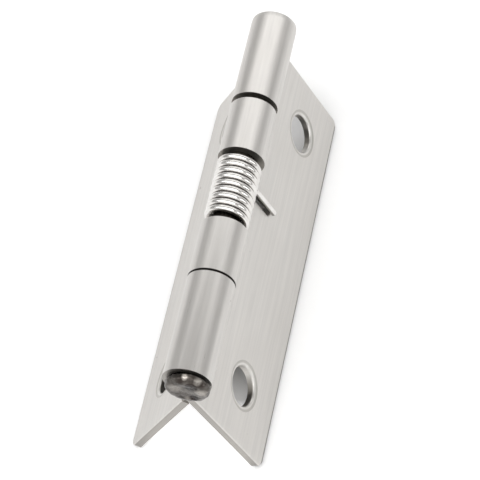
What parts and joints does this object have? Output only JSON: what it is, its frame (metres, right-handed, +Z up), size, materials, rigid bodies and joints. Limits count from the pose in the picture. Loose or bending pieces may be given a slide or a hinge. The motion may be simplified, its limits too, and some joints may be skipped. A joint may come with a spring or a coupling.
{
  "type": "spring loaded door hinge",
  "caption": "Small steel self-closing butt hinge: two notched leaves with rolled knuckles on a headed pin, and a bare torsion spring coiled round the middle of the barrel.",
  "frame": {"origin": "on the surface the hinge stands on, under the barrel, midway along its whole length", "axes": "+Y along the barrel from the peened pin end to the headed end, +Z up, +X towards the fixed leaf's side"},
  "size_m": [0.0194, 0.0646, 0.0271],
  "materials": {
    "leaf_steel": "fine brushed stainless sheet, satin",
    "pin_steel": "plain steel, rough and darker where it is peened",
    "spring_wire": "bright drawn wire"
  },
  "bodies": {
    "fixed_leaf_body": {"fixed_leaf": "leaf_steel", "hinge_pin": "pin_steel", "torsion_spring": "spring_wire"},
    "moving_leaf_body": {"moving_leaf": "leaf_steel"}
  },
  "joints": [
    {"name": "leaf_hinge", "type": "hinge", "parent": "fixed_leaf_body", "child": "moving_leaf_body", "pos_m": [0, 0, 0.02361], "axis": [0, 1, 0], "range_deg": [0, 216.8], "stiffness_Nm_per_rad": 0.048, "springref_deg": -51.57, "deforming": ["torsion_spring"]}
  ]
}
